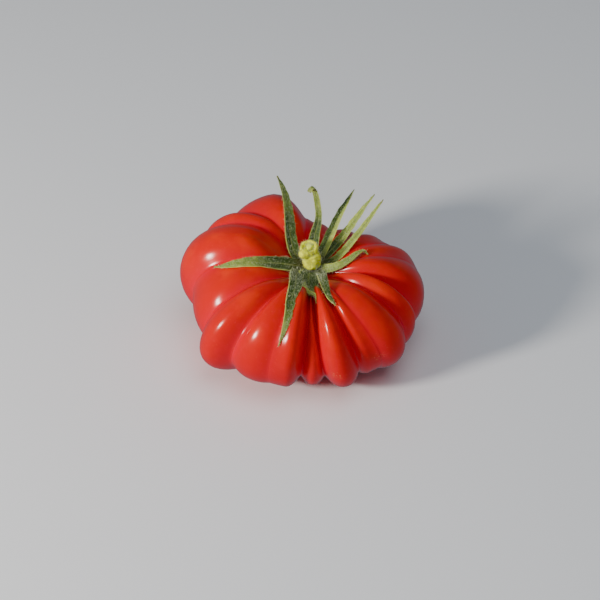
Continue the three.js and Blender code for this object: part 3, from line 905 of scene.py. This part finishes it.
def calyx_material(settings):
    """Haired green leaf: a dark upper face, a paler lower one, pale margins and midrib, dried tips, with
    painted light and shade: one half of a sepal painted paler as lit and the other darker as shaded, lit
    upper faces painted paler, the lit margins painted brighter, painted shade in the lit sepals' groove and
    round the stalk.
    """
    material, tree, surface, where = new_material("tomato calyx")
    place, across, layer = shader_numbers(tree, "spot")
    tone, chance, start = shader_numbers(tree, "tone")
    out = across.math("ABSOLUTE")
    # Painted light and shade on the two halves: the half named in the table is painted paler as the lit one,
    # the other darker as the shaded one
    lit_half = shader_numbers(tree, "ends")[2]
    bright = lit_half * across.math("SIGN") * 0.5 + 0.5
    darker = 1 - lit_half.math("ABSOLUTE") * (1 - bright) * 0.95
    # Painted light: the upper face is painted paler where light falls on it, from the given share of its
    # length on, less on the shaded half
    pale = tone * ((place - start) * 6 + 0.5).clamped(0, 1) * darker
    lower = (0.5 - layer * 2).clamped(0, 1)
    # The margins are pale, and are painted brighter and wider on the lit half as painted highlight
    margin = effect(tree, band_group, out + bright * 0.12, 0.96, 2.0, 0.14)
    midrib = effect(tree, band_group, out, -1.0, 0.09, 0.12)
    # Painted shade along the midrib's groove of the lit, pale sepals
    groove = effect(tree, band_group, out, -1.0, 0.26, 0.30)
    tip = effect(tree, band_group, place, 0.95, 2.0, 0.10)
    past_root = (place * 10 - 0.8).clamped(0, 1)
    # Painted shade round the stalk, over the sepals' roots
    root = (1.3 - place * 6).clamped(0, 1)
    clouds = effect(tree, mottle_group, where, 1.6, 0.5)
    fuzz = effect(tree, flecks_group, where, 0.55, 0.16)
    colour = painted(tree, settings.inner, [
        # The lower face, and the upper face where it is painted paler as painted light
        (settings.outer, lower.math("MAXIMUM", pale) * 0.95),
        (settings.outer, clouds * 0.2),
        # Pale margins, painted brighter on the lit half as painted highlight
        (settings.edge, margin * (bright * 0.65 + 0.3) * past_root),
        (settings.edge, midrib * 0.35 * (1 - place)),
        # Painted light: the lit upper faces are painted paler still, in clouds
        (settings.edge, pale * 0.3),
        (settings.edge, pale * clouds * 0.5),
        # Painted shade in the groove of the lit sepals
        (settings.inner, groove * pale * 0.45),
        # Painted shade round the stalk, at the sepals' roots
        (settings.root, root * 0.8),
        (settings.fuzz, fuzz * 0.55),
        (settings.dry, tip * (0.1 + chance * 0.45))])
    set_inputs(tree, surface, {
        "Base Color": colour, "Roughness": 0.62, "Specular IOR Level": 0.25,
        "Subsurface Weight": 0.12, "Subsurface Radius": (0.6, 1.0, 0.2), "Subsurface Scale": 0.5 * MM,
        "Sheen Weight": 0.12, "Sheen Roughness": 0.5, "Sheen Tint": (0.85, 0.95, 0.6, 1.0),
        "Normal": effect(tree, grain_group, where, 0.55, 0.12)})
    return material


def stem_material(settings):
    """The stalk's yellow-green rind, with painted shade in its hollows and a darker random mottle, and the
    pale broken core.
    """
    material, tree, surface, where = new_material("tomato stem")
    read = node(tree, "ShaderNodeAttribute", attribute_name="lumps")
    lumps = Field(tree, read.outputs["Fac"])
    # Painted shade in the hollows between the lumps
    painted_hollow_shade = (0.25 - lumps * 2.2).clamped(0, 1)
    core = shader_numbers(tree, "core")[0]
    clouds = effect(tree, mottle_group, where, 0.9, 0.5)
    colour = painted(tree, settings.green, [(settings.shade, painted_hollow_shade * 0.7), (settings.shade, clouds * 0.25),
                                            (settings.core, core)])
    set_inputs(tree, surface, {
        "Base Color": colour, "Roughness": 0.6, "Subsurface Weight": 0.15,
        "Subsurface Radius": (0.7, 1.0, 0.2), "Subsurface Scale": 0.8 * MM,
        "Normal": effect(tree, grain_group, where, 0.45, 0.22)})
    return material


def hair_material(settings):
    """Pale fine hairs, greener at some than at others."""
    material, tree, surface, where = new_material("tomato hairs")
    clouds = effect(tree, mottle_group, where, 3.0, 0.5)
    colour = painted(tree, settings.fuzz, [(settings.edge, clouds * 0.4)])
    set_inputs(tree, surface, {"Base Color": colour, "Roughness": 0.5})
    return material


# Pieces

def stub_meshes(settings, axis, base):
    """The stub's barrel, its leaning collar round the break and the knobs on it, as rough closed shells."""
    x, y, z = COLLAR_PLACE
    about_y, about_x = COLLAR_LEAN
    lean = (Matrix.Translation((x, y, base + z)) @ Matrix.Rotation(about_y, 4, "Y")
            @ Matrix.Rotation(about_x, 4, "X"))
    parts = [lathe("barrel", BARREL, 48, Matrix.Translation((BARREL_SHIFT, 0, base)), settings.barrel),
             lathe("collar", COLLAR, 48, lean, settings.collar)]
    for number, (x, y, z, radius) in enumerate(KNOBS):
        spot = Matrix.Translation((x, y, base + z)) @ Matrix.Diagonal((1.0, 1.0, 0.8, 1.0))
        ball = [(radius * math.sin(turn), -radius * math.cos(turn))
                for turn in np.linspace(0, math.pi, 12)]
        ball[0] = (0.0, -radius)
        ball[-1] = (0.0, radius)
        parts.append(lathe("knob " + str(number), ball, 24, spot))
    for part in parts:
        part.data.transform(Matrix.Translation(axis) @ Matrix.Scale(MM, 4))
    return parts


def lathe(name, profile, sides, matrix, wide=1.0):
    """A closed body turned about Z. Its profile of (radius / wide, height) starts and ends on the axis."""
    points = [(0.0, 0.0, profile[0][1])]
    for radius, height in profile[1:-1]:
        for turn in np.arange(sides) / sides * 2 * math.pi:
            points.append((wide * radius * math.cos(turn), wide * radius * math.sin(turn), height))
    points.append((0.0, 0.0, profile[-1][1]))
    faces = [tuple(reversed(face)) for face in skin_faces(len(profile) - 2, sides)]
    obj = add_mesh(name, points, faces)
    obj.data.transform(matrix)
    return obj


def fused(name, parts, voxel):
    """One closed mesh made of several overlapping ones."""
    joined = joined_mesh(name, parts)
    modifier = joined.modifiers.new("fuse", "REMESH")
    modifier.mode = "VOXEL"
    modifier.voxel_size = voxel
    return keep_result(joined)


def joined_mesh(name, parts):
    """One object made of several, with the mesh attributes that they share."""
    bpy.ops.object.select_all(action="DESELECT")
    for part in parts:
        part.select_set(True)
    bpy.context.view_layer.objects.active = parts[0]
    bpy.ops.object.join()
    parts[0].name = name
    parts[0].data.name = name
    return parts[0]


def strip(obj, keep):
    """Removes the mesh attributes that only the forming trees needed."""
    for name in [made.name for made in obj.data.attributes]:
        if name in SKIN_NUMBERS + SEPAL_NUMBERS and name not in keep:
            obj.data.attributes.remove(obj.data.attributes[name])


def closed_and_outward(obj):
    """True if a mesh has no open edge and its faces look outward."""
    shape = bmesh.new()
    shape.from_mesh(obj.data)
    whole = all(edge.is_manifold for edge in shape.edges)
    volume = shape.calc_volume(signed=True)
    shape.free()
    return whole and volume > 0


def ready(obj, slot, *nodes):
    """Checks a finished piece and ties it to the frame."""
    if not closed_and_outward(obj):
        raise RuntimeError(obj.name + " is open or inside out")
    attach(obj, "root")
    if nodes:
        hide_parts(*nodes)


def hairs_on(obj, name):
    """Grows hairs on a finished piece, as a piece of their own."""
    settings = bpy.context.scene.tomato_calyx
    surface = bpy.data.objects.new(name, obj.data.copy())
    bpy.context.scene.collection.objects.link(surface)
    grow(surface, hair_tree(), {"Density": settings.hair_count * PER_CM2, "Length": settings.hair,
                                "Thickness": settings.hair_width, "Material": hair_material(settings)})
    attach(surface, "root")


def aimed(name, data, place, back):
    """A lamp or camera at a place, looking against the direction that points back from what it looks at."""
    obj = bpy.data.objects.new(name, data)
    obj.location = place
    obj.rotation_mode = "QUATERNION"
    obj.rotation_quaternion = (-back).to_track_quat("-Z", "Y")
    bpy.context.scene.collection.objects.link(obj)
    return obj


class TOMATO_OT_skin(bpy.types.Operator):
    """Make the ribbed fruit"""
    bl_idname = "tomato.skin"
    bl_label = "Make Fruit"
    bl_options = {"REGISTER", "UNDO"}

    def execute(self, context):
        settings = context.scene.tomato_skin
        axis = stalk_axis()
        skin = skin_grid("tomato_fruit", SKIN_COLUMNS, SKIN_ROWS, FOLDS)
        grow(skin, skin_tree(), skin_inputs(settings, Material=skin_material(settings)))
        skin.data.transform(Matrix.Translation(axis))
        strip(skin, ("shape", "sink"))
        ready(skin, "skin", "fruit")
        return {"FINISHED"}


class TOMATO_OT_calyx(bpy.types.Operator):
    """Make the star of sepals on its small receptacle"""
    bl_idname = "tomato.calyx"
    bl_label = "Make Calyx"
    bl_options = {"REGISTER", "UNDO"}

    def execute(self, context):
        settings = context.scene.tomato_calyx
        seat = context.scene.tomato_skin.seat
        skin = bpy.data.objects.get("tomato_fruit")
        if skin is None:
            raise RuntimeError("make the fruit before the calyx")
        axis = stalk_axis()
        material = calyx_material(settings)
        tree = sepal_tree()
        chances = np.random.default_rng(SEED).random(len(SEPALS))
        parts = []
        for (name, sepal), chance in zip(SEPALS.items(), chances):
            part = sepal_grid("sepal " + name, sepal, chance, axis, seat)
            grow(part, tree, {"Midrib Thickness": settings.rib, "Margin Thickness": settings.margin,
                              "Margin Wave": settings.wave, "Clearance": settings.clearance, "Skin": skin,
                              "Material": material})
            parts.append(part)
        disc = lathe("disc", DISC, 64, Matrix.Translation((0, 0, seat)))
        disc.data.transform(Matrix.Translation(axis) @ Matrix.Scale(MM, 4))
        disc.data.materials.append(material)
        # The disc is painted with the sepals' root colour, as painted shade round the stalk
        for key, value in (("spot", (0.05, 0.4, 1.0)), ("tone", (0.5, 0.5, 0.6)), ("ends", (0, 0, 0))):
            write_attribute(disc, key, [value] * len(disc.data.vertices))
        calyx = joined_mesh("tomato_calyx", parts + [disc])
        strip(calyx, ("spot", "tone", "ends"))
        ready(calyx, "calyx", "calyx")
        return {"FINISHED"}


class TOMATO_OT_stem(bpy.types.Operator):
    """Make the stub of the stalk, with the break at its end"""
    bl_idname = "tomato.stem"
    bl_label = "Make Stem"
    bl_options = {"REGISTER", "UNDO"}

    def execute(self, context):
        settings = context.scene.tomato_stem
        base = context.scene.tomato_skin.seat + STUB_LIFT
        axis = stalk_axis()
        stub = fused("tomato_stem", stub_meshes(settings, axis, base), FUSE_STEP * MM)
        x, y, z = CORE_PLACE
        centre = axis + Vector((x * MM, y * MM, (base + z) * MM))
        values = [(max(0.0, min(1.0, CORE_REACH - (point.co - centre).length / MM)), 0.0, 0.0)
                  for point in stub.data.vertices]
        write_attribute(stub, "core", values)
        grow(stub, stub_tree(), {"Lumps": settings.lumps, "Material": stem_material(settings)})
        ready(stub, "stem", "stem")
        return {"FINISHED"}


class TOMATO_OT_hairs(bpy.types.Operator):
    """Grow the fine hairs on the calyx and the stem"""
    bl_idname = "tomato.hairs"
    bl_label = "Grow Hairs"
    bl_options = {"REGISTER", "UNDO"}

    def execute(self, context):
        for name in ("calyx", "stem"):
            surface = bpy.data.objects.get("tomato_" + name)
            if surface is None:
                raise RuntimeError("make the " + name + " before its hairs")
            hairs_on(surface, "tomato_" + name + "_hairs")
        return {"FINISHED"}


class TOMATO_OT_stage(bpy.types.Operator):
    """Set up the floor, the lights and the camera"""
    bl_idname = "tomato.stage"
    bl_label = "Set Stage"
    bl_options = {"REGISTER", "UNDO"}

    def execute(self, context):
        settings = context.scene.tomato_stage
        scene = context.scene
        axis = stalk_axis()
        corners = [(x * FLOOR_REACH, y * FLOOR_REACH, 0) for x, y in ((-1, -1), (1, -1), (1, 1), (-1, 1))]
        floor = add_mesh("floor", corners, [(0, 1, 2, 3)])
        material = bpy.data.materials.new("floor")
        material.use_nodes = True
        surface = material.node_tree.nodes["Principled BSDF"]
        surface.inputs["Base Color"].default_value = (0.93, 0.93, 0.94, 1)
        surface.inputs["Roughness"].default_value = 0.8
        floor.data.materials.append(material)
        floor.visible_glossy = False

        world = bpy.data.worlds.new("studio")
        world.use_nodes = True
        background = world.node_tree.nodes["Background"]
        background.inputs["Color"].default_value = (0.72, 0.84, 1.0, 1)
        background.inputs["Strength"].default_value = settings.room
        scene.world = world
        target = axis + Vector((0, 0, 25 * MM))
        for name, (size, direction, colour) in LAMPS.items():
            light = bpy.data.lights.new(name, "AREA")
            light.shape = "DISK"
            light.size = size
            light.energy = getattr(settings, name)
            light.color = colour
            back = Vector(direction).normalized()
            lamp = aimed(name, light, target + back * LAMP_DISTANCE, back)
            lamp.visible_glossy = name == "key"

        back = Vector((0, -math.cos(settings.elevation), math.sin(settings.elevation)))
        right = Vector((1, 0, 0))
        up = back.cross(right)
        camera = bpy.data.cameras.new("camera")
        camera.sensor_width = 36
        camera.lens = settings.lens
        camera.clip_start = 0.05
        camera.clip_end = 20
        seat = axis + Vector((0, 0, (context.scene.tomato_skin.seat + 1) * MM))
        eye = aimed("camera", camera, seat + back * settings.distance * MM + right * settings.sight[0] * MM
                    + up * settings.sight[1] * MM, back)
        scene.camera = eye
        return {"FINISHED"}


class TOMATO_PT_panel(bpy.types.Panel):
    """The tomato's settings and buttons"""
    bl_label = "Ribbed Tomato"
    bl_idname = "TOMATO_PT_panel"
    bl_space_type = "VIEW_3D"
    bl_region_type = "UI"
    bl_category = "Tomato"

    def draw(self, context):
        layout = self.layout
        for title, settings, operator in (
                ("Fruit", context.scene.tomato_skin, "tomato.skin"),
                ("Calyx", context.scene.tomato_calyx, "tomato.calyx"),
                ("Stem", context.scene.tomato_stem, "tomato.stem"),
                ("Stage", context.scene.tomato_stage, "tomato.stage")):
            box = layout.box()
            box.label(text=title)
            for name in settings.bl_rna.properties.keys():
                if name not in ("rna_type", "name"):
                    box.prop(settings, name)
            box.operator(operator)
        layout.operator("tomato.hairs")


GROUPS = {"tomato_skin": TomatoSkinSettings, "tomato_calyx": TomatoCalyxSettings,
          "tomato_stem": TomatoStemSettings, "tomato_stage": TomatoStageSettings}
CLASSES = (*GROUPS.values(), TOMATO_OT_skin, TOMATO_OT_calyx, TOMATO_OT_stem, TOMATO_OT_hairs,
           TOMATO_OT_stage, TOMATO_PT_panel)


def register():
    for kind in CLASSES:
        bpy.utils.register_class(kind)
    for name, kind in GROUPS.items():
        setattr(bpy.types.Scene, name, bpy.props.PointerProperty(type=kind))


def unregister():
    for name in GROUPS:
        delattr(bpy.types.Scene, name)
    for kind in reversed(CLASSES):
        bpy.utils.unregister_class(kind)


def main():
    register()
    bpy.ops.tomato.skin()
    bpy.ops.tomato.calyx()
    bpy.ops.tomato.stem()
    bpy.ops.tomato.hairs()
    bpy.ops.tomato.stage()


if __name__ == "__main__":
    main()
